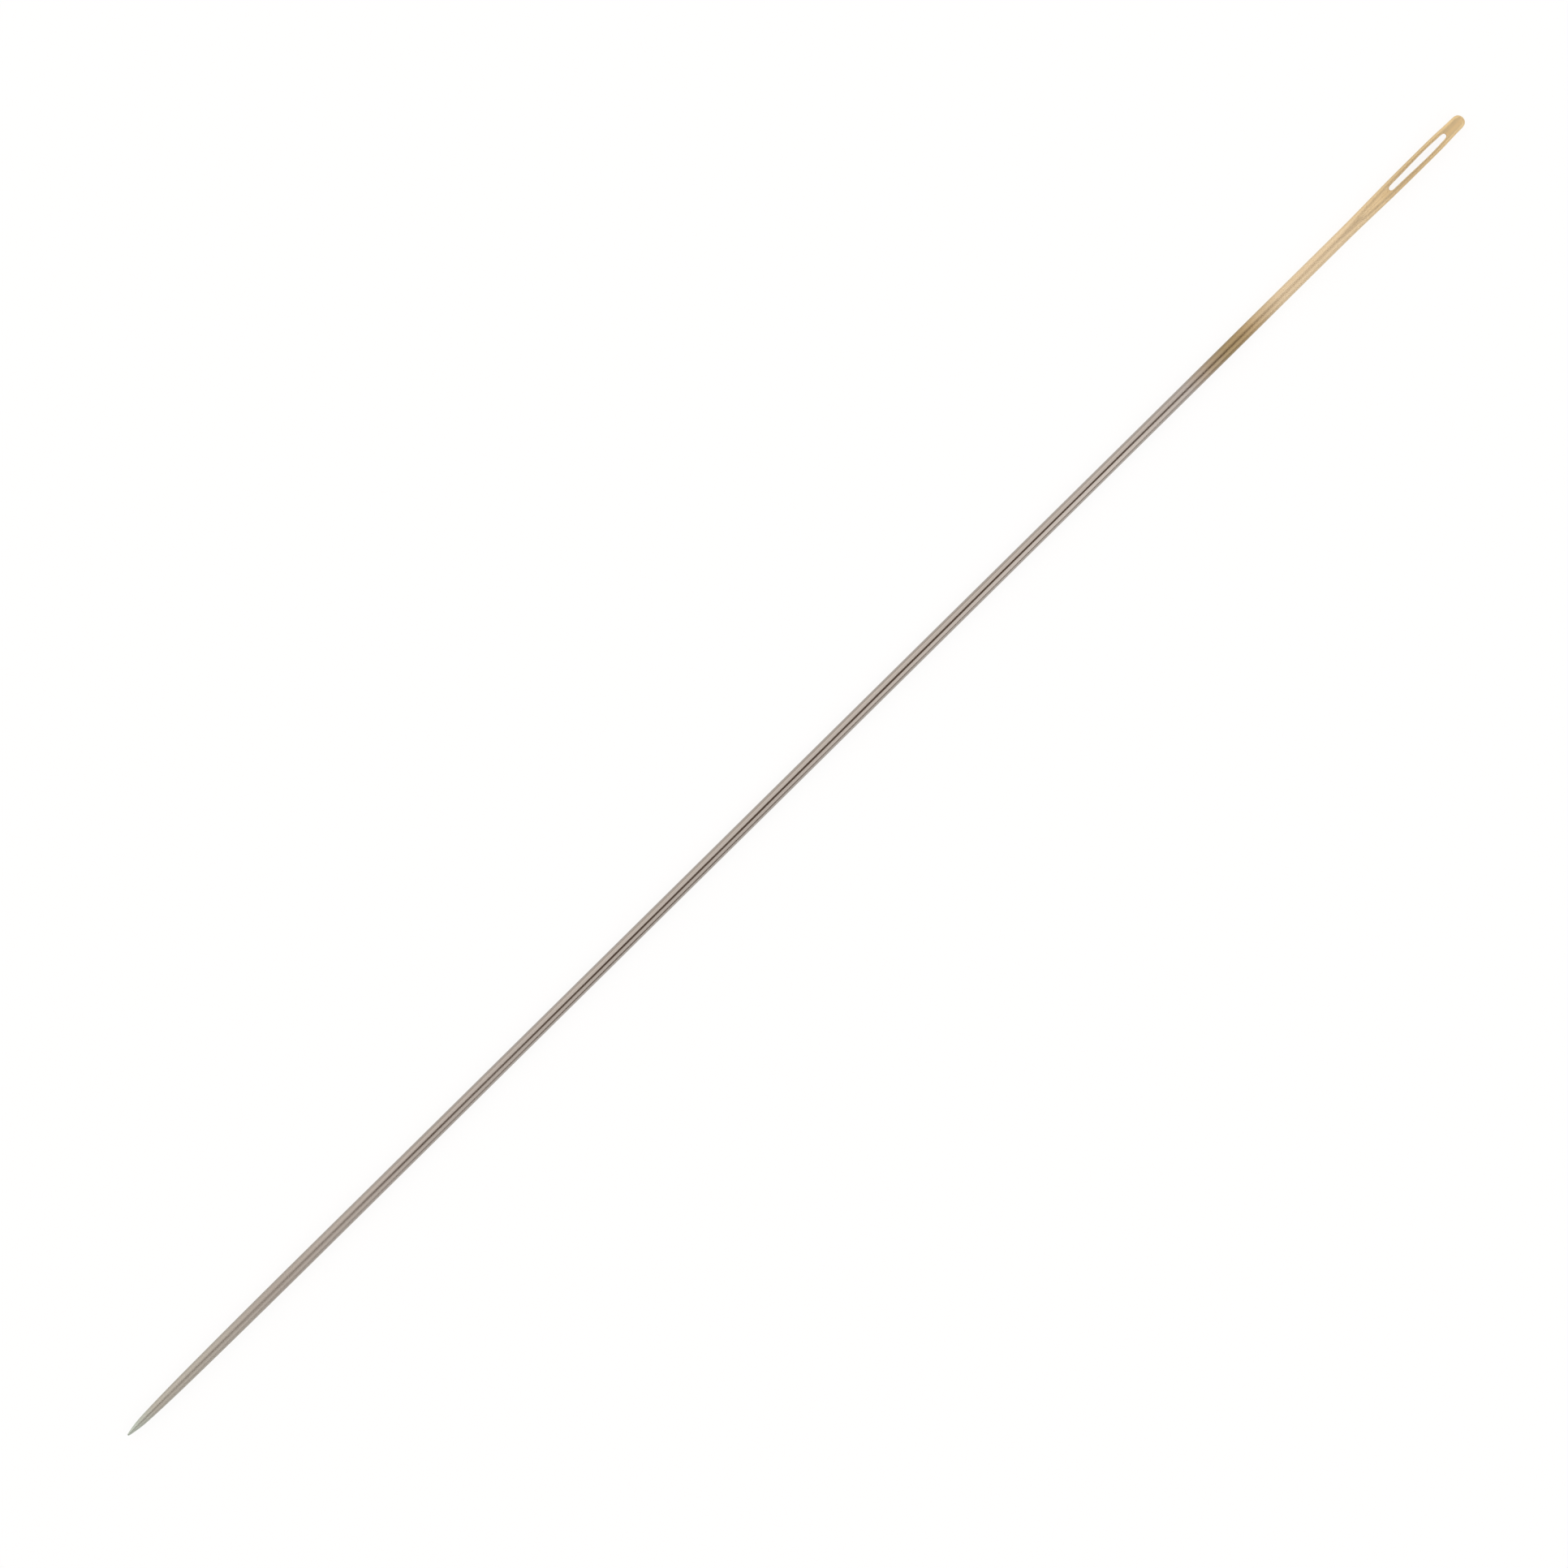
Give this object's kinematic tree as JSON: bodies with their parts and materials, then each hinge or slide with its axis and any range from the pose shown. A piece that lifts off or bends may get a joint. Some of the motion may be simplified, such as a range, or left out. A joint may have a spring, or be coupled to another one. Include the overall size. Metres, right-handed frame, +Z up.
{
  "type": "hand sewing needle",
  "caption": "Fine straight sewing needle of polished steel wire, with a ground point and a long oblong eye in a gold-plated, flattened head.",
  "frame": {"origin": "on the table that the needle lies on, under the middle of its length", "axes": "+X from the point towards the head, +Z up, square to the flats of the eye, so that the hole looks up and down"},
  "size_m": [0.057, 0.0004, 0.0004],
  "materials": {
    "plated_steel": "nickel-plated hardened steel wire, finely ground along its length and polished, gold-plated over the head end"
  },
  "bodies": {
    "root": {"needle": "plated_steel"}
  },
  "joints": []
}
